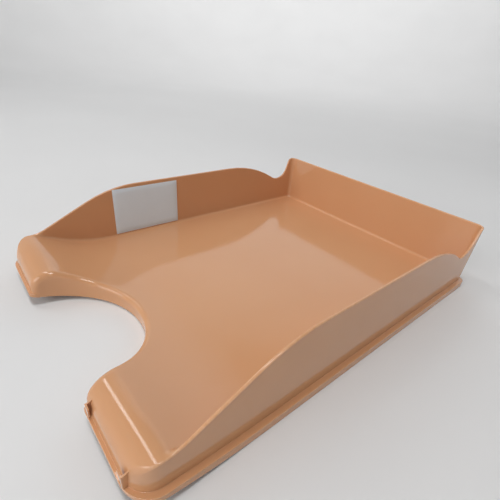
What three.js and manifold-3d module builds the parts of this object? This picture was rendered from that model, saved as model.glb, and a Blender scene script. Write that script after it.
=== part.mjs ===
// A stacking letter tray for A4 and C4 paper: one plastic moulding with a blank paper label on its left wall.
// Millimetres. +X is to the right of someone facing the tray, +Y runs to the back wall, +Z is up.
// The origin is on the table, under the middle of the tray.

import * as THREE from 'three';
import { mergeVertices } from 'three/addons/utils/BufferGeometryUtils.js';
import Module from 'manifold-3d';

const wasm = await Module();
wasm.setup();

// Overall sizes, over the skirt.
const WIDTH = 253.6;
const LENGTH = 346;
const BACK_HEIGHT = 64;
const SIDES_BELOW_BACK = 1.7;

// Plastic thicknesses and the outward lean of the side and back walls.
const WALL = 2;
const SKIRT_WALL = 1.2;
const LEAN = Math.tan(THREE.MathUtils.degToRad(2.3));

// The skirt that the tray stands on, and the ledge from its top to the foot of the walls.
const LEDGE_TOP = 6.3;
const LEDGE_THICKNESS = 1.8;
const SIDE_LEDGE = 3.9;
const FRONT_LEDGE = 1.8;
const BACK_LEDGE = 2.9;
const FRONT_CORNER = 14;
const BACK_CORNER = 5;

// The front of the skirt sweeps up off the table.
const SWEEP_LENGTH = 83;
const SWEEP_RISE_BOTTOM = 8.3;
const SWEEP_RISE_TOP = 4.8;

// The floor, and the lip that it climbs to at the front.
const FLOOR_TOP = 10;
const LIP_HEIGHT = 29.5;
const LIP_RADIUS = 13;
const LIP_FACE_DRAFT = 1.1;
const LIP_SLOPE = THREE.MathUtils.degToRad(25.2);
const FLOOR_CURVE = 140;

// The lip sags a little from the side walls to the finger notch.
const LIP_SAG = 3;
const SAG_START_FROM_SIDE = 17;

// The finger notch, a half circle centred on the front edge.
const NOTCH_RADIUS = 59;

// The rim of the side walls: a long rise from the lip, a flat stretch, then a dip before the back corner.
const FRONT_RISE = THREE.MathUtils.degToRad(25.9);
const RISE_TOP_FROM_FRONT = 90.9;
const RISE_FOOT_RADIUS = 25;
const RISE_TOP_RADIUS = 111;
const FLAT_END_FROM_BACK = 74.6;
const FLAT_END_RADIUS = 135;
const DIP_FALL = THREE.MathUtils.degToRad(30.2);
const DIP_CLIMB = THREE.MathUtils.degToRad(70);
const DIP_RADIUS = 18;
const BACK_POST_FROM_BACK = 9.2;
const BACK_POST_RADIUS = 6;

// The label holder: two hooked plates on the ledge, in front of the right half of the lip.
const HOLDER_FROM_NOTCH = 8;
const HOLDER_FROM_WALL = 8.9;
const HOLDER_BELOW_LIP = 9;
const HOLDER_PLATE = 1.4;
const HOLDER_HOOK = 4.5;

// The paper label stuck inside the left wall.
const LABEL_LENGTH = 70;
const LABEL_THICKNESS = 0.3;
const LABEL_GAP = 0.3;
const LABEL_FROM_RISE_TOP = 1.6;
const LABEL_ABOVE_FLOOR = 2.5;
const LABEL_BELOW_RIM = 3.3;

// How finely curves are divided: an outline's arc gets twice its number of straight pieces.
const OUTLINE_STEPS = 6;
const CORNER_STEPS = 4;
const SWEEP_STEPS = 5;
const SAG_STEPS = 12;
const NOTCH_SIDES = 72;

const FRONT = -LENGTH / 2;
const BACK = LENGTH / 2;
const SIDE_HEIGHT = BACK_HEIGHT - SIDES_BELOW_BACK;
const RISE_TOP = FRONT + RISE_TOP_FROM_FRONT;
const WALL_FRONT = FRONT + FRONT_LEDGE;
const WALL_HALF_WIDTH = WIDTH / 2 - SIDE_LEDGE;
const WALL_BACK = BACK - BACK_LEDGE;
const LIP_FACE = WALL_FRONT + LIP_FACE_DRAFT;
const OVERSHOOT = 10;
const ABOVE = BACK_HEIGHT + OVERSHOOT;

function toManifold(geometry) {
  const bare = geometry.clone();
  bare.deleteAttribute('normal');
  bare.deleteAttribute('uv');
  const welded = mergeVertices(bare, 1e-5);
  const vertProperties = new Float32Array(welded.attributes.position.array);
  const triVerts = new Uint32Array(welded.index.array);
  return new wasm.Manifold(new wasm.Mesh({ numProp: 3, vertProperties, triVerts }));
}

function toGeometry(manifold) {
  const mesh = manifold.getMesh();
  const geometry = new THREE.BufferGeometry();
  geometry.setAttribute('position', new THREE.BufferAttribute(mesh.vertProperties, 3));
  geometry.setIndex(new THREE.BufferAttribute(mesh.triVerts, 1));
  return geometry;
}

// A closed outline through corners [u, v, radius]; each corner is rounded by an arc of its radius.
function roundedOutline(corners) {
  const outline = new THREE.Shape();
  corners.forEach(([u, v, radius], i) => {
    const corner = new THREE.Vector2(u, v);
    if (!radius) {
      if (i === 0) outline.moveTo(u, v);
      else outline.lineTo(u, v);
      return;
    }
    const before = new THREE.Vector2(...corners.at(i - 1)).sub(corner).normalize();
    const after = new THREE.Vector2(...corners[(i + 1) % corners.length]).sub(corner).normalize();
    const half = Math.acos(before.dot(after)) / 2;
    const start = corner.clone().addScaledVector(before, radius / Math.tan(half));
    const end = corner.clone().addScaledVector(after, radius / Math.tan(half));
    const toCentre = before.clone().add(after).normalize();
    const centre = corner.clone().addScaledVector(toCentre, radius / Math.sin(half));
    const from = Math.atan2(start.y - centre.y, start.x - centre.x);
    const to = Math.atan2(end.y - centre.y, end.x - centre.x);
    const clockwise = before.cross(after) > 0;
    if (i === 0) outline.moveTo(start.x, start.y);
    outline.absarc(centre.x, centre.y, radius, from, to, clockwise);
  });
  return outline;
}

// A side view, an outline in Y and Z, run across the full width in the given number of steps.
function sideGeometry(corners, curveSegments, steps) {
  const depth = WIDTH + 2 * OVERSHOOT;
  const shape = roundedOutline(corners);
  const geometry = new THREE.ExtrudeGeometry(shape, { depth, curveSegments, steps, bevelEnabled: false });
  const axes = new THREE.Matrix4().makeBasis(
    new THREE.Vector3(0, 1, 0),
    new THREE.Vector3(0, 0, 1),
    new THREE.Vector3(1, 0, 0),
  );
  geometry.applyMatrix4(axes);
  geometry.translate(-depth / 2, 0, 0);
  return geometry;
}

// The same, let down toward the notch by the lip's sag: in full at the lip's height, not at all at the floor.
function saggingPrism(corners) {
  const geometry = sideGeometry(corners, OUTLINE_STEPS, SAG_STEPS);
  const position = geometry.attributes.position;
  for (let i = 0; i < position.count; i += 1) {
    const z = position.getZ(i);
    const fromMiddle = Math.abs(position.getX(i));
    const sideFade = THREE.MathUtils.smoothstep(fromMiddle, NOTCH_RADIUS, WIDTH / 2 - SAG_START_FROM_SIDE);
    const raised = THREE.MathUtils.clamp((z - FLOOR_TOP) / (LIP_HEIGHT - FLOOR_TOP), 0, 1);
    if (position.getY(i) < 0) position.setZ(i, z - LIP_SAG * (1 - sideFade) * raised);
  }
  return toManifold(geometry);
}

// A rounded rectangle, seen from above at the ledge's height, whose sides and back lean out as they rise.
function wallPlan(inset) {
  const half = WALL_HALF_WIDTH - inset;
  const front = WALL_FRONT + inset;
  const back = WALL_BACK - inset;
  const frontCorner = FRONT_CORNER - inset;
  const backCorner = BACK_CORNER - inset;
  return leaningPrism(half, front, back, frontCorner, backCorner, LEAN);
}

function leaningPrism(half, front, back, frontCorner, backCorner, lean) {
  const shape = roundedOutline([
    [half, front, frontCorner],
    [half, back, backCorner],
    [-half, back, backCorner],
    [-half, front, frontCorner],
  ]);
  const depth = ABOVE + OVERSHOOT;
  const options = { depth, curveSegments: CORNER_STEPS, bevelEnabled: false };
  const geometry = new THREE.ExtrudeGeometry(shape, options);
  geometry.translate(0, 0, -OVERSHOOT);
  const position = geometry.attributes.position;
  for (let i = 0; i < position.count; i += 1) {
    const out = lean * (position.getZ(i) - LEDGE_TOP);
    position.setX(i, position.getX(i) + Math.sign(position.getX(i)) * out);
    if (position.getY(i) > 0) position.setY(i, position.getY(i) + out);
  }
  return toManifold(geometry);
}

// The skirt's plan, inset from its outer face.
function skirtPlan(inset) {
  const frontCorner = FRONT_CORNER + FRONT_LEDGE - inset;
  const backCorner = BACK_CORNER + BACK_LEDGE - inset;
  return leaningPrism(WIDTH / 2 - inset, FRONT + inset, BACK - inset, frontCorner, backCorner, 0);
}

// Everything under a line that is level from the back and curves up to the front by the given rise.
function belowSweep(level, rise) {
  const half = SWEEP_LENGTH / 2;
  const climb = Math.atan2(rise, half);
  const geometry = sideGeometry([
    [FRONT - OVERSHOOT, level + rise + OVERSHOOT * Math.tan(climb), 0],
    [FRONT - OVERSHOOT, -OVERSHOOT, 0],
    [BACK + OVERSHOOT, -OVERSHOOT, 0],
    [BACK + OVERSHOOT, level, 0],
    [FRONT + half, level, half / Math.tan(climb / 2)],
  ], SWEEP_STEPS, 1);
  return toManifold(geometry);
}

// The rim line of the side walls, from the lip's face to the back, down to below the table.
function rimPrism() {
  const riseFoot = RISE_TOP - (SIDE_HEIGHT - LIP_HEIGHT) / Math.tan(FRONT_RISE);
  const flatEnd = BACK - FLAT_END_FROM_BACK;
  const postTop = BACK - BACK_POST_FROM_BACK;
  const fall = Math.tan(DIP_FALL);
  const climb = Math.tan(DIP_CLIMB);
  const dip = (SIDE_HEIGHT - BACK_HEIGHT + fall * flatEnd + climb * postTop) / (fall + climb);
  return saggingPrism([
    [WALL_FRONT, -OVERSHOOT, 0],
    [WALL_FRONT, LEDGE_TOP, 0],
    [LIP_FACE, LIP_HEIGHT, LIP_RADIUS],
    [riseFoot, LIP_HEIGHT, RISE_FOOT_RADIUS],
    [RISE_TOP, SIDE_HEIGHT, RISE_TOP_RADIUS],
    [flatEnd, SIDE_HEIGHT, FLAT_END_RADIUS],
    [dip, SIDE_HEIGHT - fall * (dip - flatEnd), DIP_RADIUS],
    [postTop, BACK_HEIGHT, BACK_POST_RADIUS],
    [BACK + OVERSHOOT, BACK_HEIGHT, 0],
    [BACK + OVERSHOOT, -OVERSHOOT, 0],
  ]);
}

// The two places where the floor's line turns, on a surface lying the given depth below its top face.
function floorTurns(depth) {
  const crestRadius = LIP_RADIUS - depth;
  const crest = LIP_FACE + LIP_RADIUS + crestRadius * Math.tan(LIP_SLOPE / 2);
  const run = (LIP_HEIGHT - FLOOR_TOP) / Math.tan(LIP_SLOPE);
  return [
    [crest, LIP_HEIGHT - depth, crestRadius],
    [crest + run, FLOOR_TOP - depth, FLOOR_CURVE + depth],
  ];
}

// The paper space: everything above the floor and behind the top of the lip.
function paperSpace() {
  const start = LIP_FACE + LIP_RADIUS;
  const above = saggingPrism([
    [start, ABOVE, 0],
    [start, LIP_HEIGHT, 0],
    ...floorTurns(0),
    [BACK + OVERSHOOT, FLOOR_TOP, 0],
    [BACK + OVERSHOOT, ABOVE, 0],
  ]);
  return wallPlan(WALL).intersect(above);
}

// The space under the floor and inside the lip, one wall thickness in from the outside.
function underSpace() {
  const below = saggingPrism([
    [WALL_FRONT + WALL, -OVERSHOOT, 0],
    [WALL_FRONT + WALL, LEDGE_TOP, 0],
    [LIP_FACE + WALL, LIP_HEIGHT - WALL, LIP_RADIUS - WALL],
    ...floorTurns(WALL),
    [BACK + OVERSHOOT, FLOOR_TOP - WALL, 0],
    [BACK + OVERSHOOT, -OVERSHOOT, 0],
  ]);
  const insideWalls = wallPlan(WALL).intersect(below);
  const ledgeUnderside = LEDGE_TOP - LEDGE_THICKNESS;
  const insideSkirt = skirtPlan(SKIRT_WALL).intersect(belowSweep(ledgeUnderside, SWEEP_RISE_TOP));
  return insideWalls.add(insideSkirt);
}

function notchCylinder(radius) {
  const height = ABOVE + OVERSHOOT;
  const geometry = new THREE.CylinderGeometry(radius, radius, height, NOTCH_SIDES);
  geometry.rotateX(Math.PI / 2);
  geometry.translate(0, FRONT, height / 2 - OVERSHOOT);
  return toManifold(geometry);
}

function block(x0, x1, y0, y1, z0, z1) {
  const geometry = new THREE.BoxGeometry(x1 - x0, y1 - y0, z1 - z0);
  geometry.translate((x0 + x1) / 2, (y0 + y1) / 2, (z0 + z1) / 2);
  return toManifold(geometry);
}

// One end of the label holder: a plate out from the lip, with a hook across the front of the card.
// side is -1 for the left end, whose hook points right, and 1 for the right end.
function holderEnd(outerX, side) {
  const plateX = outerX - side * HOLDER_PLATE;
  const hookX = outerX - side * HOLDER_HOOK;
  const plateBack = LIP_FACE + WALL;
  const bottom = LEDGE_TOP + SWEEP_RISE_TOP - LEDGE_THICKNESS;
  const hookBack = FRONT + HOLDER_PLATE;
  const top = LIP_HEIGHT - HOLDER_BELOW_LIP;
  const plate = block(Math.min(outerX, plateX), Math.max(outerX, plateX), FRONT, plateBack, bottom, top);
  const hook = block(Math.min(outerX, hookX), Math.max(outerX, hookX), FRONT, hookBack, bottom, top);
  return plate.add(hook);
}

function trayMoulding() {
  const walls = wallPlan(0).intersect(rimPrism());
  const base = skirtPlan(0).intersect(belowSweep(LEDGE_TOP, SWEEP_RISE_TOP));
  const underside = underSpace().subtract(notchCylinder(NOTCH_RADIUS + WALL));
  return walls
    .add(base)
    .add(holderEnd(NOTCH_RADIUS + HOLDER_FROM_NOTCH, -1))
    .add(holderEnd(WALL_HALF_WIDTH - HOLDER_FROM_WALL, 1))
    .subtract(paperSpace())
    .subtract(underside)
    .subtract(notchCylinder(NOTCH_RADIUS))
    .subtract(belowSweep(0, SWEEP_RISE_BOTTOM));
}

function plastic() {
  return new THREE.MeshStandardMaterial({ color: 0xd49f78, roughness: 0.22, metalness: 0 });
}

function labelPaper() {
  return new THREE.MeshStandardMaterial({ color: 0xf2f1ee, roughness: 0.7, metalness: 0 });
}

function namedMesh(name, geometry, material) {
  const mesh = new THREE.Mesh(geometry, material);
  mesh.name = name;
  return mesh;
}

// The label lies against the leaning inner face of the left wall.
function wallLabel() {
  const bottom = FLOOR_TOP + LABEL_ABOVE_FLOOR;
  const top = SIDE_HEIGHT - LABEL_BELOW_RIM;
  const geometry = new THREE.BoxGeometry(LABEL_THICKNESS, LABEL_LENGTH, top - bottom);
  const label = namedMesh('wall_label', geometry, labelPaper());
  const tilt = Math.atan(LEAN);
  const middle = (bottom + top) / 2;
  const centreY = RISE_TOP + LABEL_FROM_RISE_TOP + LABEL_LENGTH / 2;
  const innerFace = WALL_HALF_WIDTH - WALL + LEAN * (middle - LEDGE_TOP);
  const offWall = (LABEL_GAP + LABEL_THICKNESS / 2) / Math.cos(tilt);
  label.position.set(-(innerFace - offWall), centreY, middle);
  label.rotation.y = -tilt;
  return label;
}

const tray = new THREE.Group();
tray.add(namedMesh('tray_moulding', toGeometry(trayMoulding()), plastic()));
tray.add(wallLabel());

export default tray;
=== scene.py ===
# A glossy apricot letter tray with a blank paper label inside its left wall, on a pale floor.
# The tray is one moulding. Its right half is laid out as rungs that run from the finger notch out to the
# walls, each rung is a section through notch wall, floor, rim, ledge and skirt, and the half is mirrored.
# Sizes are in millimetres and turn into metres where vertices are placed.

import math

import bpy
from mathutils import Matrix, Vector


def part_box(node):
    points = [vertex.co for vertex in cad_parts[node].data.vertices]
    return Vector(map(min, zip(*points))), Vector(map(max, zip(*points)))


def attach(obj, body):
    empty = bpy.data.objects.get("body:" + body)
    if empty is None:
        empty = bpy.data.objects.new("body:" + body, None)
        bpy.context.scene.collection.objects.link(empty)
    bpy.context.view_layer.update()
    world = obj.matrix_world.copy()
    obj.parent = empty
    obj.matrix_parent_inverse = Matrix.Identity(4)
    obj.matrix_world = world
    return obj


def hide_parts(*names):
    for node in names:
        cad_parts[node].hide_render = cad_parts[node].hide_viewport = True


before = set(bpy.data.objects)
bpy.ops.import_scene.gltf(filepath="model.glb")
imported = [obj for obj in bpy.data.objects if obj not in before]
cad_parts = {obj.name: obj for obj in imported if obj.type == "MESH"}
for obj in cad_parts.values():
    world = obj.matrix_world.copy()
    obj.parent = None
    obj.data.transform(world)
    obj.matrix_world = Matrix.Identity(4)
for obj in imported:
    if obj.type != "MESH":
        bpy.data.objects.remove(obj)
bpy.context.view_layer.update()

MM = 0.001

# Overall sizes, taken from the frame.
tray_low, tray_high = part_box("tray_moulding")
HALF_WIDTH = tray_high[0] / MM
FRONT = tray_low[1] / MM
BACK = tray_high[1] / MM
BACK_HEIGHT = tray_high[2] / MM

# Walls, ledge and skirt.
SIDE_HEIGHT = BACK_HEIGHT - 1.7
WALL = 2.0
SKIRT_WALL = 1.2
LEAN = math.tan(math.radians(2.3))
LEDGE_TOP = 6.3
LEDGE_THICKNESS = 1.8
SIDE_LEDGE = 3.9
FRONT_LEDGE = 1.8
BACK_LEDGE = 2.9
FRONT_CORNER = 14.0
BACK_CORNER = 5.0

# The skirt's sweep up off the table at the front.
SWEEP_END = FRONT + 83.0
SWEEP_RISE_BOTTOM = 8.3
SWEEP_RISE_TOP = 4.8

# Floor and lip.
FLOOR_TOP = 10.0
LIP_HEIGHT = 29.5
LIP_RADIUS = 13.0
LIP_FACE_DRAFT = 1.1
LIP_SLOPE = math.radians(25.2)
FLOOR_CURVE = 140.0
LIP_SAG = 3.0
SAG_START = HALF_WIDTH - 17.0

# Finger notch, and the round-over of its edge.
NOTCH_RADIUS = 59.0
NOTCH_ROUND = 4.5

# The side walls' rim line.
FRONT_RISE = math.radians(25.9)
RISE_TOP = FRONT + 90.9
RISE_FOOT_RADIUS = 25.0
RISE_TOP_RADIUS = 111.0
FLAT_END = BACK - 74.6
FLAT_END_RADIUS = 135.0
DIP_FALL = math.radians(30.2)
DIP_CLIMB = math.radians(70.0)
DIP_RADIUS = 18.0
POST_TOP = BACK - 9.2
POST_RADIUS = 6.0

# Round-overs and fillets of the moulding.
RIM_ROUND = 0.85
CORNER_ROUND = 6.0
FLOOR_FILLET = 2.7
FOOT_FILLET = 0.3
FOOT_SHARE = 0.15  # of the ledge's width, at most
LEDGE_ROUND = 0.3
EDGE_SHARE = 0.14  # of the ledge's width, at most
SKIRT_ROUND = 0.3
LIP_END_ROUND = 1.0
LIP_END_FROM = math.radians(60)
LIP_END_MARGIN = 3.0

# Where the side rim grows out of the lip: a ramp until it is this high, a full wall from this height on.
RAMP_UNTIL = 1.0
FULL_WALL_FROM = 10.0
ROUND_SHARE = 0.45
LEAST_RIM = 0.05

WALL_FRONT = FRONT + FRONT_LEDGE
WALL_SIDE = HALF_WIDTH - SIDE_LEDGE
WALL_BACK = BACK - BACK_LEDGE
CORNER_X = WALL_SIDE - FRONT_CORNER
CORNER_Y = WALL_FRONT + FRONT_CORNER
BACK_CORNER_X = WALL_SIDE - BACK_CORNER
BACK_CORNER_Y = WALL_BACK - BACK_CORNER
DRAFT = LIP_FACE_DRAFT / (LIP_HEIGHT - LEDGE_TOP)
CREST_Y = WALL_FRONT + LIP_FACE_DRAFT + LIP_RADIUS
ROLL_CENTRE_Z = LIP_HEIGHT - LIP_RADIUS
ROLL_CENTRE_Y = WALL_FRONT + DRAFT * (ROLL_CENTRE_Z - LEDGE_TOP) + LIP_RADIUS

# How finely the sheet is divided.
ROLL_ROWS = 9
ROUND_STEPS = 6
FLOOR_STEPS = 22
FILLET_STEPS = 5
INNER_WALL_STEPS = 4
RIM_STEPS = 4
WALL_STEPS = 5
TOP_STEPS = ROUND_STEPS + FLOOR_STEPS + FILLET_STEPS + INNER_WALL_STEPS + RIM_STEPS + 1 + ROUND_STEPS
EDGE_STEPS = 3
SKIRT_STEPS = 2
DOWN_STEPS = WALL_STEPS + EDGE_STEPS + 1 + EDGE_STEPS + 1 + SKIRT_STEPS
CREST_ROWS = (1.2, 2.4, 3.6, 4.8)
RIM_DEGREES = 5.0
FINE_RIM_DEGREES = 1.0
LEAST_ARC_STEPS = 3
STATION_GAP = 12.0
LEAST_STATION_GAP = 0.8
BACK_CORNER_MARGIN = 0.3
CORNER_STEPS = 6
BACK_STEPS = 10
INNER_SKIRT_STEPS = 3
ROW_CROWDING = 0.5
FLOOR_SETTLES_FROM = 0.9

# Rungs run level from the notch to the side wall up to here, and fan out behind it.
NOTCH_LEVEL_UNTIL = FRONT + 32.0
NOTCH_TURN = math.radians(25)

# Merging, in metres, and shading.
MIRROR_MERGE = 0.00002
WELD = 0.000003
SHARP_NORMAL = 0.9
TRAY_SMOOTH = math.radians(50)
SMALL_SMOOTH = math.radians(40)

# The card holder: two fins on the lip's face, each with a hook that tapers toward its foot.
HOLDER_LEFT = NOTCH_RADIUS + 8.0
HOLDER_RIGHT = WALL_SIDE - 8.9
HOLDER_TOP = LIP_HEIGHT - 9.4
HOLDER_PEAK = 1.3
HOLDER_PLATE = 1.0
HOLDER_HOOK = 4.8
HOLDER_HOOK_TAPER = 2.9
HOLDER_SINK = 1.2
HOLDER_BACK = 2.4
HOLDER_BACK_DROP = 1.2
HOLDER_FOOT_BACK = 0.4
HOLDER_BEVEL = 0.22
HOLDER_BEVEL_STEPS = 3

# The label, in the plane of the wall.
LABEL_THICKNESS = 0.22
LABEL_BEVEL = 0.06
LABEL_BEVEL_STEPS = 2
LABEL_COLUMNS = 12
LABEL_ROWS = 8

# Pale edges, partly rubbed wear and partly a painted highlight along the rims: the turn of the surface, in
# radians per millimetre, where the pale edge colour starts and where it is full.
WEAR_AND_HIGHLIGHT_FROM = 0.15
WEAR_AND_HIGHLIGHT_FULL = 1.1

# The studio and the camera, in metres and degrees.
STUDIO_RADIUS = 3.2
STUDIO_BEND = 1.4
STUDIO_HEIGHT = 3.2
STUDIO_FLAT_STEPS = 6
STUDIO_BEND_STEPS = 12
STUDIO_TURN_STEPS = 72
STUDIO_WELD = 0.0001
CAMERA_PLACE = Vector((0.20888, -0.19622, 0.18835))
CAMERA_YAW = 47.62
CAMERA_PITCH = -29.15
CAMERA_ROLL = 5.55
CAMERA_LENS = 25.825
CAMERA_NEAR = 0.01
SENSOR = 36.0


def mix(a, b, t):
    """The value a share t of the way from a to b."""
    return a + (b - a) * t


def smooth(start, end, value):
    """0 before start, 1 after end, and an easy curve between."""
    t = min(max((value - start) / (end - start), 0.0), 1.0)
    return t * t * (3 - 2 * t)


def sweep(y, rise):
    """How far a sweeping line has risen at y: an arc that leaves the level at SWEEP_END."""
    run = SWEEP_END - y
    if run <= 0:
        return 0.0
    half = (SWEEP_END - FRONT) / 2
    radius = half / math.tan(math.atan2(rise, half) / 2)
    return radius - math.sqrt(radius * radius - run * run)


def ledge_z(y):
    """The ledge's top at y."""
    return LEDGE_TOP + sweep(y, SWEEP_RISE_TOP)


def skirt_z(y):
    """The skirt's bottom edge at y."""
    return sweep(y, SWEEP_RISE_BOTTOM)


def sagged(x, y, z):
    """z let down by the lip's sag toward the notch: in full at the lip's height, not at all at the floor."""
    if y > 0:
        return z
    raised = min(max((z - FLOOR_TOP) / (LIP_HEIGHT - FLOOR_TOP), 0.0), 1.0)
    return z - LIP_SAG * (1 - smooth(NOTCH_RADIUS, SAG_START, abs(x))) * raised


def floor_profile(y):
    """Height of the floor behind the crest of the lip: crest arc, slope, long curve and level floor."""
    crest_end = CREST_Y + LIP_RADIUS * math.sin(LIP_SLOPE)
    corner = CREST_Y + LIP_RADIUS * math.tan(LIP_SLOPE / 2)
    foot = corner + (LIP_HEIGHT - FLOOR_TOP) / math.tan(LIP_SLOPE)
    tangent = FLOOR_CURVE * math.tan(LIP_SLOPE / 2)
    if y <= CREST_Y:
        return LIP_HEIGHT
    if y <= crest_end:
        return ROLL_CENTRE_Z + math.sqrt(LIP_RADIUS ** 2 - (y - CREST_Y) ** 2)
    if y <= foot - tangent * math.cos(LIP_SLOPE):
        return LIP_HEIGHT - (y - corner) * math.tan(LIP_SLOPE)
    if y <= foot + tangent:
        return FLOOR_TOP + FLOOR_CURVE - math.sqrt(FLOOR_CURVE ** 2 - (foot + tangent - y) ** 2)
    return FLOOR_TOP


def floor_z(x, y):
    """The floor's height, the lip's sag taken off."""
    return sagged(x, y, floor_profile(y))


def rounded_path(corners, degrees_per_step):
    """An open path through [y, z, radius] corners, with an arc of that radius at each inner corner."""
    points = [Vector(corners[0][:2])]
    for before, here, after in zip(corners, corners[1:], corners[2:]):
        corner = Vector(here[:2])
        back = (Vector(before[:2]) - corner).normalized()
        on = (Vector(after[:2]) - corner).normalized()
        turn = math.pi - back.angle(on)
        reach = here[2] * math.tan(turn / 2)
        toward = (back + on).normalized()
        centre = corner + toward * (here[2] / math.cos(turn / 2))
        start = corner + back * reach - centre
        steps = max(LEAST_ARC_STEPS, round(math.degrees(turn) / degrees_per_step))
        end = corner + on * reach - centre
        way = 1 if start.x * end.y - start.y * end.x > 0 else -1
        for i in range(steps + 1):
            a = way * turn * i / steps
            points.append(centre + Vector((
                start.x * math.cos(a) - start.y * math.sin(a),
                start.x * math.sin(a) + start.y * math.cos(a),
            )))
    points.append(Vector(corners[-1][:2]))
    return points


def rim_line(degrees_per_step):
    """The side wall's rim from the crest of the lip to the back, as (y, z) points."""
    rise_foot = RISE_TOP - (SIDE_HEIGHT - LIP_HEIGHT) / math.tan(FRONT_RISE)
    fall = math.tan(DIP_FALL)
    climb = math.tan(DIP_CLIMB)
    dip = (SIDE_HEIGHT - BACK_HEIGHT + fall * FLAT_END + climb * POST_TOP) / (fall + climb)
    return rounded_path([
        (CREST_Y, LIP_HEIGHT, 0),
        (rise_foot, LIP_HEIGHT, RISE_FOOT_RADIUS),
        (RISE_TOP, SIDE_HEIGHT, RISE_TOP_RADIUS),
        (FLAT_END, SIDE_HEIGHT, FLAT_END_RADIUS),
        (dip, SIDE_HEIGHT - fall * (dip - FLAT_END), DIP_RADIUS),
        (POST_TOP, BACK_HEIGHT, POST_RADIUS),
        (BACK, BACK_HEIGHT, 0),
    ], degrees_per_step)


FINE_RIM = rim_line(FINE_RIM_DEGREES)


def rim_z(y):
    """The rim's height at y."""
    for low, high in zip(FINE_RIM, FINE_RIM[1:]):
        if y <= high.x:
            return mix(low.y, high.y, (y - low.x) / max(high.x - low.x, 1e-9))
    return BACK_HEIGHT


def round_over(edge, one_way, other_way, one, other, steps):
    """A quarter round over a sharp edge, from `one` along one_way to `other` along other_way."""
    points = []
    for i in range(steps + 1):
        a = math.pi / 2 * i / steps
        points.append(edge + one_way * (one * (1 - math.sin(a))) + other_way * (other * (1 - math.cos(a))))
    return points


def line(start, end, steps):
    """The points after start, up to end."""
    return [start.lerp(end, (i + 1) / steps) for i in range(steps)]


DOWN = Vector((0, 0, -1))
UP = Vector((0, 0, 1))


class Station:
    """A place on the outside of the walls: a corner centre, a radius and the way out from it, in plan."""

    def __init__(self, centre_x, centre_y, way_x, way_y, radius, ledge):
        self.centre = Vector((centre_x, centre_y))
        self.way = Vector((way_x, way_y))
        self.radius = radius
        self.ledge = ledge

    def at(self, out, z):
        """The point `out` millimetres outside the wall's face at height z; below the ledge nothing leans."""
        lift = max(z - LEDGE_TOP, 0.0)
        lean_x = LEAN * lift if self.way.x > 0 else 0.0
        lean_y = LEAN * lift if self.way.y > 0 else -DRAFT * lift
        x = self.centre.x + self.way.x * (self.radius + lean_x + out)
        y = self.centre.y + self.way.y * (self.radius + lean_y + out)
        return Vector((x, y, z))

    def level(self, out, z):
        """The same with the lean that the wall has at the ledge."""
        flat = self.at(out, LEDGE_TOP)
        return Vector((flat.x, flat.y, z))


def front_corner_station(angle):
    """On the front corner, at an angle from the side wall toward the front face."""
    ledge = FRONT_LEDGE + (SIDE_LEDGE - FRONT_LEDGE) * math.cos(angle) ** 2
    return Station(CORNER_X, CORNER_Y, math.cos(angle), -math.sin(angle), FRONT_CORNER, ledge)


def side_station(y):
    """On the side wall at y."""
    return Station(CORNER_X, y, 1, 0, FRONT_CORNER, SIDE_LEDGE)


def back_corner_station(angle):
    """On the back corner, at an angle from the side wall toward the back."""
    ledge = BACK_LEDGE + (SIDE_LEDGE - BACK_LEDGE) * math.cos(angle) ** 2
    return Station(BACK_CORNER_X, BACK_CORNER_Y, math.cos(angle), math.sin(angle), BACK_CORNER, ledge)


def back_station(x):
    """On the back wall at x."""
    return Station(x, BACK_CORNER_Y, 0, 1, BACK_CORNER, BACK_LEDGE)


def front_station(x):
    """On the front face at x."""
    return Station(x, CORNER_Y, 0, -1, FRONT_CORNER, FRONT_LEDGE)


def notch_x(y, radius):
    """Where an arc of this radius round the notch's centre passes, at y."""
    return math.sqrt(max(radius ** 2 - (y - FRONT) ** 2, 0.0))


def outer_column(station, top):
    """Down the outside of a wall from its top: wall, foot fillet, ledge, its round edge and the skirt."""
    y = station.at(0, LEDGE_TOP).y
    shelf = ledge_z(y)
    bottom = skirt_z(station.level(station.ledge, 0).y)
    fillet = min(FOOT_FILLET, station.ledge * FOOT_SHARE)
    edge = min(LEDGE_ROUND, station.ledge * EDGE_SHARE)
    out = (station.at(1, shelf) - station.at(0, shelf)).normalized()
    column = []
    for i in range(WALL_STEPS):
        z = mix(top.z, shelf + fillet, (i + 1) / WALL_STEPS)
        column.append(station.at(0, z))
    column += round_over(station.at(0, shelf), UP, out, fillet, fillet, EDGE_STEPS)[1:]
    ledge_edge = station.level(station.ledge, shelf)
    column += round_over(ledge_edge, -out, DOWN, edge, edge, EDGE_STEPS)
    skirt_edge = station.level(station.ledge, bottom)
    column += round_over(skirt_edge, UP, -out, SKIRT_ROUND, SKIRT_ROUND, SKIRT_STEPS)
    return column


def notch_column(top, inward):
    """Down the wall of the notch from its top; `inward` points into the plastic."""
    bottom = skirt_z(top.y)
    foot = Vector((top.x, top.y, bottom))
    column = line(top, foot + UP * SKIRT_ROUND, DOWN_STEPS - SKIRT_STEPS)
    column += round_over(foot, UP, inward, SKIRT_ROUND, SKIRT_ROUND, SKIRT_STEPS)[1:]
    return column


def inner_column(station, top):
    """Down the inside of a wall from under the floor: wall, under the ledge, and inside of the skirt."""
    y = station.at(0, LEDGE_TOP).y
    under = ledge_z(y) - LEDGE_THICKNESS
    bottom = skirt_z(station.level(station.ledge, 0).y)
    skirt = mix(-WALL, station.ledge - SKIRT_WALL, smooth(0.0, FRONT_LEDGE, station.ledge))
    steps = DOWN_STEPS - INNER_SKIRT_STEPS - 1
    column = []
    for i in range(steps):
        z = mix(top.z, under, (i + 1) / steps)
        column.append(station.at(-WALL, z))
    column.append(station.level(skirt, under))
    low = station.level(skirt, bottom)
    column += line(column[-1], low, INNER_SKIRT_STEPS)
    return column


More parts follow.
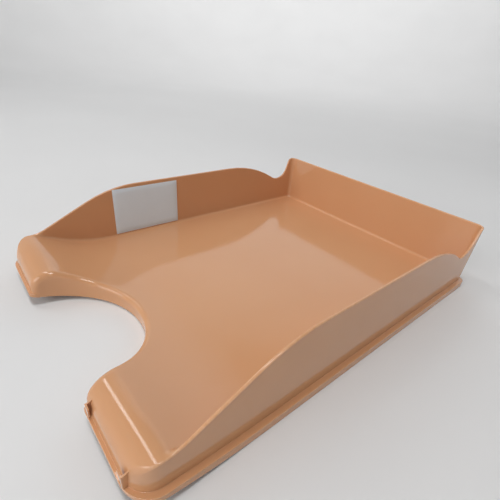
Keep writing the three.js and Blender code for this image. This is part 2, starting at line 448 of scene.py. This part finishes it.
def side_section(station, height, floor_height):
    """From the end of the floor fillet over the rim, to the start of the outer wall."""
    inward = (station.at(-1, height) - station.at(0, height)).normalized()
    rise = height - floor_height
    fillet = min(FLOOR_FILLET, rise * ROUND_SHARE)
    rim = min(RIM_ROUND, max(rise * ROUND_SHARE, LEAST_RIM))
    foot = station.at(-WALL, floor_height)
    crown = station.at(-WALL, height)
    wall = round_over(foot, inward, UP, fillet, fillet, FILLET_STEPS)
    wall += line(wall[-1], crown - UP * rim, INNER_WALL_STEPS)
    wall += round_over(crown, DOWN, -inward, rim, rim, RIM_STEPS)[1:]
    start = station.at(-WALL - FLOOR_FILLET, floor_height)
    end = station.at(-RIM_ROUND, height)
    full = smooth(RAMP_UNTIL, FULL_WALL_FROM, rise)
    blended = []
    for i, point in enumerate(wall):
        t = i / (len(wall) - 1)
        ramp = start.lerp(end, t)
        ramp.z = mix(floor_height, height, smooth(0.0, 1.0, t))
        blended.append(ramp.lerp(point, full))
    edge = station.at(0, height)
    return blended + round_over(edge, inward, DOWN, RIM_ROUND, RIM_ROUND, ROUND_STEPS)


class Rung:
    """One section of the half tray: from the notch's foot over the floor and down to the skirt's foot."""

    def __init__(self, notch, top, outer):
        self.notch = notch
        self.top = top
        self.outer = outer

    def points(self):
        """All its points, in order."""
        return list(reversed(self.notch)) + self.top + self.outer


def roll_angle(row):
    """How far round the lip's roll a row lies: a quarter turn at the front face, none at the crest."""
    return math.pi / 2 * (1 - row / ROLL_ROWS)


def roll_place(row, radius):
    """The y and z of a row of the lip's roll."""
    a = roll_angle(row)
    return ROLL_CENTRE_Y - radius * math.sin(a), ROLL_CENTRE_Z + radius * math.cos(a)


def corner_at(y, z, inset):
    """The station on the front corner whose face is at y, at height z."""
    depth = FRONT_CORNER - DRAFT * max(z - LEDGE_TOP, 0.0) - inset
    angle = math.asin(min(max((CORNER_Y - y) / depth, 0.0), 1.0))
    return front_corner_station(angle)


def floor_row(start, end, steps):
    """Points after start toward end over the floor, closer together near both ends."""
    points = []
    for i in range(1, steps + 1):
        t = i / steps
        t = mix(t, smooth(0.0, 1.0, t), ROW_CROWDING)
        x = mix(start.x, end.x, t)
        y = mix(start.y, end.y, t)
        points.append((x, y, t))
    return points


def roll_rung(row):
    """A rung across the lip's roll, at one angle of the roll."""
    a = roll_angle(row)
    y, z = roll_place(row, LIP_RADIUS)
    into = Vector((0, math.sin(a), -math.cos(a)))
    notch_edge = Vector((notch_x(y, NOTCH_RADIUS), y, sagged(NOTCH_RADIUS, y, z)))
    top = round_over(notch_edge, into, Vector((1, 0, 0)), NOTCH_ROUND, NOTCH_ROUND, ROUND_STEPS)
    for point in top:
        point.x += notch_x(point.y, NOTCH_RADIUS) - notch_x(y, NOTCH_RADIUS)
    station = corner_at(y, z, 0.0)
    edge = station.at(0, z)
    side = mix(CORNER_ROUND, RIM_ROUND, math.cos(a) ** 2)
    side = mix(side, LIP_END_ROUND, smooth(LIP_END_FROM, math.pi / 2, a))
    inner_steps = FILLET_STEPS + INNER_WALL_STEPS + RIM_STEPS
    floor_end = Vector((edge.x - max(side + LIP_END_MARGIN, WALL + FLOOR_FILLET), edge.y, z))
    for x, row_y, t in floor_row(top[-1], floor_end, FLOOR_STEPS):
        top.append(Vector((x, row_y, sagged(x, row_y, z))))
    top += line(top[-1], edge - Vector((side, 0, 0)), inner_steps)
    top += round_over(edge, Vector((-1, 0, 0)), DOWN, side, side, ROUND_STEPS)
    low = top[0]
    inward = Vector((low.x, low.y - FRONT, 0)).normalized()
    return Rung(notch_column(low, inward), top, outer_column(station, top[-1]))


def floor_rung(station, angle, turned):
    """A rung behind the crest, from the notch at an angle round it to a station on the walls."""
    radial = Vector((math.cos(angle), math.sin(angle), 0))
    across = Vector((1, 0, 0)).lerp(radial, turned).normalized()
    centre = Vector((0, FRONT, 0))
    edge = centre + radial * NOTCH_RADIUS
    edge.z = floor_z(edge.x, edge.y)
    top = []
    for point in round_over(edge, DOWN, across, NOTCH_ROUND, NOTCH_ROUND, ROUND_STEPS):
        drop = point.z - edge.z
        top.append(Vector((point.x, point.y, floor_z(point.x, point.y) + drop)))
    y = station.at(0, SIDE_HEIGHT).y
    foot = station.at(-WALL, FLOOR_TOP)
    floor_height = floor_z(foot.x, foot.y)
    height = rim_z(y)
    section = side_section(station, height, floor_height)
    for x, row_y, t in floor_row(top[-1], section[0], FLOOR_STEPS):
        settled = smooth(FLOOR_SETTLES_FROM, 1.0, t)
        top.append(Vector((x, row_y, mix(floor_z(x, row_y), section[0].z, settled))))
    top += section[1:]
    low = top[0]
    return Rung(notch_column(low, radial), top, outer_column(station, top[-1]))


def wall_stations():
    """Stations along the right wall and round to the middle of the back, behind the crest."""
    ys = [CREST_Y + row for row in CREST_ROWS]
    coarse = rim_line(RIM_DEGREES)
    for low, high in zip(coarse, coarse[1:]):
        steps = max(1, math.ceil((high.x - low.x) / STATION_GAP))
        for i in range(steps):
            y = mix(low.x, high.x, (i + 1) / steps)
            if ys[-1] + LEAST_STATION_GAP < y < BACK_CORNER_Y - BACK_CORNER_MARGIN:
                ys.append(y)
    stations = [side_station(y) for y in ys]
    stations += [back_corner_station(math.pi / 2 * i / CORNER_STEPS) for i in range(CORNER_STEPS + 1)]
    stations += [back_station(BACK_CORNER_X * (1 - i / BACK_STEPS)) for i in range(1, BACK_STEPS + 1)]
    return stations


def notch_angles(stations):
    """The angle round the notch for each wall station: level with it at first, then fanned out evenly."""
    places = [station.at(0, LEDGE_TOP) for station in stations]
    angles = []
    travelled = 0.0
    turn_start = 0.0
    total = sum((b - a).length for a, b in zip(places, places[1:]) if b.y > NOTCH_LEVEL_UNTIL)
    for i, place in enumerate(places):
        if place.y <= NOTCH_LEVEL_UNTIL:
            turn_start = math.asin((place.y - FRONT) / NOTCH_RADIUS)
            angles.append(turn_start)
        else:
            travelled += (place - places[i - 1]).length
            angles.append(mix(turn_start, math.pi / 2, travelled / total))
    angles[-1] = math.pi / 2
    return angles


def outer_rungs():
    """All rungs of the skin: across the roll, then behind the crest."""
    rungs = [roll_rung(row) for row in range(ROLL_ROWS + 1)]
    stations = wall_stations()
    angles = notch_angles(stations)
    first = math.asin((CREST_Y - FRONT) / NOTCH_RADIUS)
    for station, angle in zip(stations, angles):
        turned = smooth(first, first + NOTCH_TURN, angle)
        rungs.append(floor_rung(station, angle, turned))
    return rungs


def notch_corner_station(point, share):
    """A station on the round corner from front face to notch wall, at one point of the first rung."""
    away = share * math.pi / 2
    lift = max(point.z - LEDGE_TOP, 0.0)
    centre_y = point.y - math.cos(away) * DRAFT * lift
    return Station(point.x, centre_y, -math.sin(away), -math.cos(away), 0, FRONT_LEDGE * math.cos(away) ** 2)


def front_columns(rung, inner):
    """The columns down the front face from each top point of the first rung."""
    columns = []
    last = len(rung.top) - 1
    for j, point in enumerate(rung.top):
        station = front_station(point.x)
        if j < ROUND_STEPS:
            station = notch_corner_station(point, 1 - j / ROUND_STEPS)
            if inner:
                station.centre += station.way * WALL
        if j == 0:
            columns.append([point] + rung.notch)
        elif j == last:
            columns.append([point] + rung.outer)
        elif inner:
            columns.append([point] + inner_column(station, point))
        else:
            columns.append([point] + outer_column(station, point))
    return columns


def under_rung(row_z, station, notch_place):
    """A rung of the underside, from the notch wall's inside to the inside of the skirt."""
    def height(x, y):
        return floor_z(x, y) - WALL if row_z is None else sagged(x, y, row_z)

    end = station.at(-WALL, FLOOR_TOP if row_z is None else row_z)
    end = station.at(-WALL, height(end.x, end.y))
    start = Vector((notch_place.x, notch_place.y, height(notch_place.x, notch_place.y)))
    top = [start]
    for i in range(1, TOP_STEPS):
        t = i / TOP_STEPS
        x = mix(start.x, end.x, t)
        y = mix(start.y, end.y, t)
        top.append(Vector((x, y, height(x, y))))
    top.append(end)
    foot = Vector((start.x, start.y, skirt_z(start.y)))
    notch = [start] + line(start, foot, DOWN_STEPS)
    return Rung(notch[1:], top, inner_column(station, end))


def inner_rungs():
    """All rungs of the underside, in step with those of the skin."""
    rungs = []
    radius = NOTCH_RADIUS + WALL
    for row in range(ROLL_ROWS + 1):
        y, z = roll_place(row, LIP_RADIUS - WALL)
        station = corner_at(y, z, WALL)
        rungs.append(under_rung(z, station, Vector((notch_x(y, radius), y))))
    stations = wall_stations()
    for station, angle in zip(stations, notch_angles(stations)):
        place = Vector((radius * math.cos(angle), FRONT + radius * math.sin(angle)))
        rungs.append(under_rung(None, station, place))
    return rungs


def sheet(name, rows):
    """A grid laid through rows of points, as a mesh object."""
    bpy.ops.object.select_all(action="DESELECT")
    across = len(rows[0])
    bpy.ops.mesh.primitive_grid_add(x_subdivisions=across - 1, y_subdivisions=len(rows) - 1, size=1)
    piece = bpy.context.object
    piece.name = name
    vertices = piece.data.vertices
    assert len(vertices) == across * len(rows), (len(vertices), across, len(rows))
    for j, row in enumerate(rows):
        for i, point in enumerate(row):
            vertices[j * across + i].co = point * MM
    return piece


def join(pieces):
    """One object out of several."""
    bpy.ops.object.select_all(action="DESELECT")
    for piece in pieces:
        piece.select_set(True)
    bpy.context.view_layer.objects.active = pieces[0]
    bpy.ops.object.join()
    return bpy.context.object


def choose(piece):
    """Selects one piece and nothing else."""
    bpy.ops.object.select_all(action="DESELECT")
    piece.select_set(True)
    bpy.context.view_layer.objects.active = piece


def edit(piece):
    """Opens one piece in edit mode with all of it selected."""
    choose(piece)
    bpy.ops.object.mode_set(mode="EDIT")
    bpy.ops.mesh.select_all(action="SELECT")


def done():
    """Leaves edit mode."""
    bpy.ops.object.mode_set(mode="OBJECT")


def apply_modifier(piece, kind, **settings):
    """Adds a modifier and applies it at once."""
    bpy.context.view_layer.objects.active = piece
    modifier = piece.modifiers.new(kind.lower(), kind)
    for key, value in settings.items():
        setattr(modifier, key, value)
    bpy.ops.object.modifier_apply(modifier=modifier.name)


def half_shell(name, rungs, inner):
    """The skin or the underside of the half tray: its sheet, its front face's sheet and their bottom edge."""
    columns = front_columns(rungs[0], inner)
    body = sheet(name, [rung.points() for rung in rungs])
    face = sheet(name + "_face", columns)
    rim = [rung.points()[0] for rung in reversed(rungs)]
    rim += [column[-1] for column in columns[1:]]
    rim += [rung.points()[-1] for rung in rungs[1:]]
    return [body, face], rim


def build_tray():
    """The whole moulding but the card holder: right half of skin, underside and foot, mirrored and welded."""
    skin, skin_rim = half_shell("skin", outer_rungs(), False)
    under, under_rim = half_shell("under", inner_rungs(), True)
    foot = sheet("foot", [skin_rim, under_rim])
    tray = join(skin + under + [foot])
    tray.name = "letter_tray_moulding"
    tray.data.name = tray.name
    apply_modifier(tray, "MIRROR", use_clip=True, merge_threshold=MIRROR_MERGE)
    edit(tray)
    bpy.ops.mesh.remove_doubles(threshold=WELD)
    bpy.ops.mesh.normals_make_consistent(inside=False)
    done()
    bpy.ops.object.shade_smooth_by_angle(angle=TRAY_SMOOTH)
    apply_modifier(tray, "WEIGHTED_NORMAL", keep_sharp=True)
    return tray


def block(name, low, high):
    """A box between two corners, in millimetres, to be shaped further."""
    bpy.ops.object.select_all(action="DESELECT")
    middle = (Vector(low) + Vector(high)) / 2 * MM
    bpy.ops.mesh.primitive_cube_add(size=1, location=middle)
    piece = bpy.context.object
    piece.scale = (Vector(high) - Vector(low)) * MM
    bpy.ops.object.transform_apply(location=True, rotation=True, scale=True)
    piece.name = name
    piece.data.name = name
    return piece


def select_faces(piece, chosen):
    """Selects, in edit mode, the faces whose centre (in millimetres) and normal are chosen."""
    bpy.ops.mesh.select_all(action="DESELECT")
    bpy.ops.object.mode_set(mode="OBJECT")
    for face in piece.data.polygons:
        face.select = chosen(face.center / MM, face.normal)
    bpy.ops.object.mode_set(mode="EDIT")


def build_holder(name, outer_x, side):
    """One end of the card holder: a fin out of the lip's face that turns in across the card's edge."""
    bottom = ledge_z(WALL_FRONT) - HOLDER_SINK
    inner_x = outer_x - side * HOLDER_PLATE
    low = (min(outer_x, inner_x), FRONT + HOLDER_PLATE, bottom)
    high = (max(outer_x, inner_x), WALL_FRONT + HOLDER_BACK, HOLDER_TOP)
    piece = block(name, low, high)
    edit(piece)
    select_faces(piece, lambda centre, normal: normal.y < -SHARP_NORMAL)
    bpy.ops.mesh.extrude_region_move(TRANSFORM_OT_translate={"value": (0, -HOLDER_PLATE * MM, 0)})
    hook_back = FRONT + HOLDER_PLATE
    select_faces(piece, lambda centre, normal: normal.x * side < -SHARP_NORMAL and centre.y < hook_back)
    reach = side * (HOLDER_PLATE - HOLDER_HOOK) * MM
    bpy.ops.mesh.extrude_region_move(TRANSFORM_OT_translate={"value": (reach, 0, 0)})
    done()
    free_end = outer_x - side * HOLDER_HOOK
    middle_z = (bottom + HOLDER_TOP) / 2
    for vertex in piece.data.vertices:
        x, y, z = vertex.co / MM
        at_foot = z < middle_z
        if at_foot and side * x < side * free_end + HOLDER_PLATE / 2:
            vertex.co.x += side * HOLDER_HOOK_TAPER * MM
        if y > WALL_FRONT and at_foot:
            vertex.co.y -= HOLDER_BACK_DROP * MM
        elif y > WALL_FRONT:
            vertex.co.z += HOLDER_PEAK * MM
        elif at_foot:
            vertex.co.y += HOLDER_FOOT_BACK * MM
    apply_modifier(
        piece, "BEVEL", width=HOLDER_BEVEL * MM, segments=HOLDER_BEVEL_STEPS, limit_method="ANGLE",
    )
    choose(piece)
    bpy.ops.object.shade_smooth_by_angle(angle=SMALL_SMOOTH)
    apply_modifier(piece, "WEIGHTED_NORMAL", keep_sharp=True)
    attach(piece, "root")
    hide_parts("tray_moulding")
    return piece


def build_label():
    """A paper label with softened edges, laid against the inside of the left wall."""
    low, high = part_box("wall_label")
    low = Vector(low) / MM
    high = Vector(high) / MM
    length = high.y - low.y
    tilt = math.atan(LEAN)
    height = (high.z - low.z - LABEL_THICKNESS * math.sin(tilt)) / math.cos(tilt)
    half = Vector((LABEL_THICKNESS, length, height)) / 2
    piece = block("wall_label_paper", -half, half)
    apply_modifier(
        piece, "BEVEL", width=LABEL_BEVEL * MM, segments=LABEL_BEVEL_STEPS, limit_method="ANGLE",
    )
    edit(piece)
    for cut in range(1, LABEL_COLUMNS):
        y = length * (cut / LABEL_COLUMNS - 0.5) * MM
        bpy.ops.mesh.select_all(action="SELECT")
        bpy.ops.mesh.bisect(plane_co=(0, y, 0), plane_no=(0, 1, 0))
    for cut in range(1, LABEL_ROWS):
        z = height * (cut / LABEL_ROWS - 0.5) * MM
        bpy.ops.mesh.select_all(action="SELECT")
        bpy.ops.mesh.bisect(plane_co=(0, 0, z), plane_no=(0, 0, 1))
    done()
    middle = (low + high) / 2
    turn = Matrix.Rotation(-tilt, 4, "Y")
    piece.data.transform(Matrix.Translation(middle * MM) @ turn)
    choose(piece)
    bpy.ops.object.shade_smooth_by_angle(angle=SMALL_SMOOTH)
    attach(piece, "root")
    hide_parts("wall_label")
    return piece


def mark_wear_and_highlight_edges(piece):
    """Stores how sharply the surface turns outward at each vertex, for the pale edges: partly wear, partly a
    painted highlight along the rims.
    """
    mesh = piece.data
    bend = [0.0] * len(mesh.vertices)
    sides = {}
    for face in mesh.polygons:
        for key in face.edge_keys:
            sides.setdefault(key, []).append(face)
    for key, faces in sides.items():
        if len(faces) != 2:
            continue
        first, second = faces
        outward = (second.center - first.center).dot(first.normal) < 0
        length = (second.center - first.center).length
        if outward and length > 0:
            turn = first.normal.angle(second.normal, 0.0) / (length / MM)
            for vertex in key:
                bend[vertex] = max(bend[vertex], turn)
    worn_and_lit_edges = mesh.attributes.new("edge_wear_and_highlight", "FLOAT", "POINT")
    for i, turn in enumerate(bend):
        worn_and_lit_edges.data[i].value = smooth(WEAR_AND_HIGHLIGHT_FROM, WEAR_AND_HIGHLIGHT_FULL, turn)


class Nodes:
    """A small helper that adds and links a material's nodes."""

    def __init__(self, name):
        self.material = bpy.data.materials.new(name)
        self.material.use_nodes = True
        self.tree = self.material.node_tree
        self.shader = self.tree.nodes["Principled BSDF"]

    def add(self, kind, **inputs):
        """A node with its inputs set or linked; an underscore in an input's name stands for a space."""
        node = self.tree.nodes.new(kind)
        for key, value in inputs.items():
            if hasattr(value, "is_output"):
                self.tree.links.new(value, node.inputs[key.replace("_", " ")])
            else:
                node.inputs[key.replace("_", " ")].default_value = value
        return node

    def noise(self, vector, scale, detail=2.0, rough=0.5):
        """The strength of a noise pattern."""
        node = self.add("ShaderNodeTexNoise", Vector=vector, Scale=scale, Detail=detail, Roughness=rough)
        return node.outputs["Fac"]

    def span(self, value, low, high, to_low, to_high):
        """A value moved from one range to another."""
        node = self.add("ShaderNodeMapRange", Value=value)
        for key, number in (("From Min", low), ("From Max", high), ("To Min", to_low), ("To Max", to_high)):
            node.inputs[key].default_value = number
        return node.outputs["Result"]

    def blend(self, amount, one, other):
        """A colour between two, by an amount."""
        node = self.tree.nodes.new("ShaderNodeMix")
        node.data_type = "RGBA"
        self.plug(node.inputs[0], amount)
        self.plug(node.inputs[6], one)
        self.plug(node.inputs[7], other)
        return node.outputs[2]

    def maths(self, operation, one, other):
        """The result of one operation on two values."""
        node = self.tree.nodes.new("ShaderNodeMath")
        node.operation = operation
        self.plug(node.inputs[0], one)
        self.plug(node.inputs[1], other)
        return node.outputs[0]

    def plug(self, socket, value):
        """Links an output to a socket, or sets the socket to a constant."""
        if hasattr(value, "is_output"):
            self.tree.links.new(value, socket)
        else:
            socket.default_value = value

    def give(self, name, value):
        """Feeds one of the shader's inputs."""
        self.plug(self.shader.inputs[name], value)


def moulded_plastic():
    """Glossy apricot plastic with faint flow tone, pale edges that are partly rubbed wear and partly a
    painted highlight, light scuffs and fine waviness.
    """
    n = Nodes("apricot_gloss_plastic")
    place = n.add("ShaderNodeTexCoord").outputs["Object"]
    worn_and_lit_edges = n.tree.nodes.new("ShaderNodeAttribute")
    worn_and_lit_edges.attribute_name = "edge_wear_and_highlight"
    body = (0.635, 0.325, 0.164, 1)
    streak = (0.650, 0.340, 0.175, 1)
    # The pale edge colour is partly rubbed wear and partly a painted highlight, which stands in for the thin
    # specular line along the rims.
    pale = (0.800, 0.500, 0.320, 1)
    flow = n.span(n.noise(place, 9.0, 3.0), 0.35, 0.65, 0.0, 1.0)
    colour = n.blend(flow, body, streak)
    rub_and_glint = n.span(n.noise(place, 420.0, 3.0, 0.6), 0.30, 0.80, 0.0, 1.0)
    # The edge mask, broken up by noise, lays the pale colour on as wear and painted highlight; in the
    # roughness it is wear alone.
    wear_and_highlight = n.maths("MULTIPLY", worn_and_lit_edges.outputs["Fac"], rub_and_glint)
    colour = n.blend(n.maths("MULTIPLY", wear_and_highlight, 0.60), colour, pale)
    n.give("Base Color", colour)
    cloud = n.span(n.noise(place, 26.0, 4.0, 0.6), 0.3, 0.7, 0.08, 0.13)
    stretch = n.add("ShaderNodeMapping", Vector=place)
    stretch.inputs["Scale"].default_value = (30, 700, 700)
    stretch.inputs["Rotation"].default_value = (0, 0, 0.9)
    scuffs = n.span(n.noise(stretch.outputs[0], 1.0, 2.0, 0.5), 0.60, 0.85, 0.0, 0.035)
    rough = n.maths("ADD", cloud, scuffs)
    rough = n.maths("ADD", rough, n.maths("MULTIPLY", wear_and_highlight, 0.15))
    n.give("Roughness", rough)
    peel = n.noise(place, 260.0, 2.0, 0.4)
    grain = n.noise(place, 1600.0, 2.0, 0.5)
    height = n.maths("ADD", peel, n.maths("MULTIPLY", grain, 0.25))
    bump = n.add("ShaderNodeBump", Height=height, Strength=0.10, Distance=0.0002)
    n.give("Normal", bump.outputs[0])
    n.shader.inputs["IOR"].default_value = 1.5
    n.shader.inputs["Subsurface Weight"].default_value = 0.06
    n.shader.inputs["Subsurface Radius"].default_value = (1.0, 0.45, 0.25)
    n.shader.inputs["Subsurface Scale"].default_value = 0.002
    return n.material


def label_paper():
    """Matt blue-white paper with long fine fibres."""
    n = Nodes("plain_label_paper")
    place = n.add("ShaderNodeTexCoord").outputs["Object"]
    fibre = n.add("ShaderNodeMapping", Vector=place)
    fibre.inputs["Scale"].default_value = (1500, 500, 1500)
    fibres = n.noise(fibre.outputs[0], 1.0, 4.0, 0.65)
    tone = n.span(n.noise(place, 30.0, 3.0), 0.3, 0.7, 0.0, 1.0)
    deep = (0.70, 0.81, 0.89, 1)
    light = (0.74, 0.85, 0.93, 1)
    n.give("Base Color", n.blend(tone, deep, light))
    n.give("Roughness", n.span(fibres, 0.3, 0.7, 0.62, 0.8))
    bump = n.add("ShaderNodeBump", Height=fibres, Strength=0.2, Distance=0.00005)
    n.give("Normal", bump.outputs[0])
    return n.material


def pale_floor():
    """Matt pale grey with hardly any tone."""
    n = Nodes("pale_studio_floor")
    place = n.add("ShaderNodeTexCoord").outputs["Object"]
    tone = n.span(n.noise(place, 3.0, 3.0), 0.3, 0.7, 0.0, 1.0)
    n.give("Base Color", n.blend(tone, (0.75, 0.75, 0.75, 1), (0.78, 0.78, 0.78, 1)))
    n.give("Roughness", n.span(tone, 0.0, 1.0, 0.6, 0.7))
    return n.material


def studio_floor():
    """A round level floor that curves up into a wall all the way round, far from the tray."""
    flat = STUDIO_RADIUS - STUDIO_BEND
    profile = [(flat * i / STUDIO_FLAT_STEPS, 0.0) for i in range(STUDIO_FLAT_STEPS + 1)]
    for i in range(1, STUDIO_BEND_STEPS + 1):
        a = math.pi / 2 * i / STUDIO_BEND_STEPS
        profile.append((flat + STUDIO_BEND * math.sin(a), STUDIO_BEND * (1 - math.cos(a))))
    profile.append((STUDIO_RADIUS, STUDIO_HEIGHT))
    turns = [math.tau * i / STUDIO_TURN_STEPS for i in range(STUDIO_TURN_STEPS + 1)]
    rows = []
    for radius, z in profile:
        rows.append([Vector((radius * math.cos(t), radius * math.sin(t), z)) / MM for t in turns])
    floor = sheet("studio_floor", rows)
    edit(floor)
    bpy.ops.mesh.remove_doubles(threshold=STUDIO_WELD)
    bpy.ops.mesh.normals_make_consistent(inside=True)
    done()
    for face in floor.data.polygons:
        face.use_smooth = True
    floor.data.materials.append(pale_floor())


def aim(place, ahead, roll):
    """A camera's or light's matrix at a place, looking ahead, turned about its own axis by roll degrees."""
    ahead = Vector(ahead).normalized()
    right = ahead.cross(Vector((0, 0, 1))).normalized()
    up = right.cross(ahead)
    a = math.radians(roll)
    turned_right = right * math.cos(a) + up * math.sin(a)
    turned_up = up * math.cos(a) - right * math.sin(a)
    turn = Matrix((turned_right, turned_up, -ahead)).transposed().to_4x4()
    return Matrix.Translation(place) @ turn


def add_camera():
    """The scene's camera."""
    yaw = math.radians(CAMERA_YAW)
    pitch = math.radians(CAMERA_PITCH)
    ahead = (-math.sin(yaw) * math.cos(pitch), math.cos(yaw) * math.cos(pitch), math.sin(pitch))
    data = bpy.data.cameras.new("tray_camera")
    data.lens = CAMERA_LENS
    data.sensor_width = SENSOR
    data.clip_start = CAMERA_NEAR
    camera = bpy.data.objects.new("tray_camera", data)
    bpy.context.scene.collection.objects.link(camera)
    camera.matrix_world = aim(CAMERA_PLACE, ahead, CAMERA_ROLL)
    bpy.context.scene.camera = camera


def add_light(name, place, target, size, power, roll=0):
    """A rectangular lamp at a place, facing a target, of a size in metres and a power in watts."""
    data = bpy.data.lights.new(name, "AREA")
    data.shape = "RECTANGLE"
    data.size = size[0]
    data.size_y = size[1]
    data.energy = power
    lamp = bpy.data.objects.new(name, data)
    bpy.context.scene.collection.objects.link(lamp)
    lamp.matrix_world = aim(Vector(place), Vector(target) - Vector(place), roll)


def light_studio():
    """One long lamp over the left, for the highlights, and large soft boxes all round."""
    middle = (0, 0, 0.03)
    add_light("lamp_over_left", (-0.73, -0.295, 1.149), middle, (0.2, 0.7), 2.6, -18.2)
    add_light("softbox_overhead", (0.2, -0.25, 2.2), middle, (0.5, 0.5), 15.5)
    add_light("softbox_front", (0.1, -2.4, 1.3), middle, (1.8, 1.4), 30.0)
    add_light("softbox_back", (0.2, 2.0, 1.6), middle, (1.4, 1.4), 2.5)
    add_light("softbox_backdrop", (-1.2, 1.1, 2.2), (-2.4, 2.2, 1.4), (2.4, 0.6), 34.0)
    world = bpy.data.worlds.new("pale_studio")
    bpy.context.scene.world = world
    world.use_nodes = True
    background = world.node_tree.nodes["Background"]
    background.inputs["Color"].default_value = (0.96, 0.98, 1.0, 1)
    background.inputs["Strength"].default_value = 0.10
    bpy.context.scene.view_settings.view_transform = "Standard"


tray = build_tray()
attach(tray, "root")
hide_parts("tray_moulding")

holder_left = build_holder("card_holder_left", HOLDER_LEFT, -1)
holder_right = build_holder("card_holder_right", HOLDER_RIGHT, 1)
label = build_label()

plastic = moulded_plastic()
for piece in (tray, holder_left, holder_right):
    mark_wear_and_highlight_edges(piece)
    piece.data.materials.clear()
    piece.data.materials.append(plastic)
label.data.materials.clear()
label.data.materials.append(label_paper())

studio_floor()
add_camera()
light_studio()
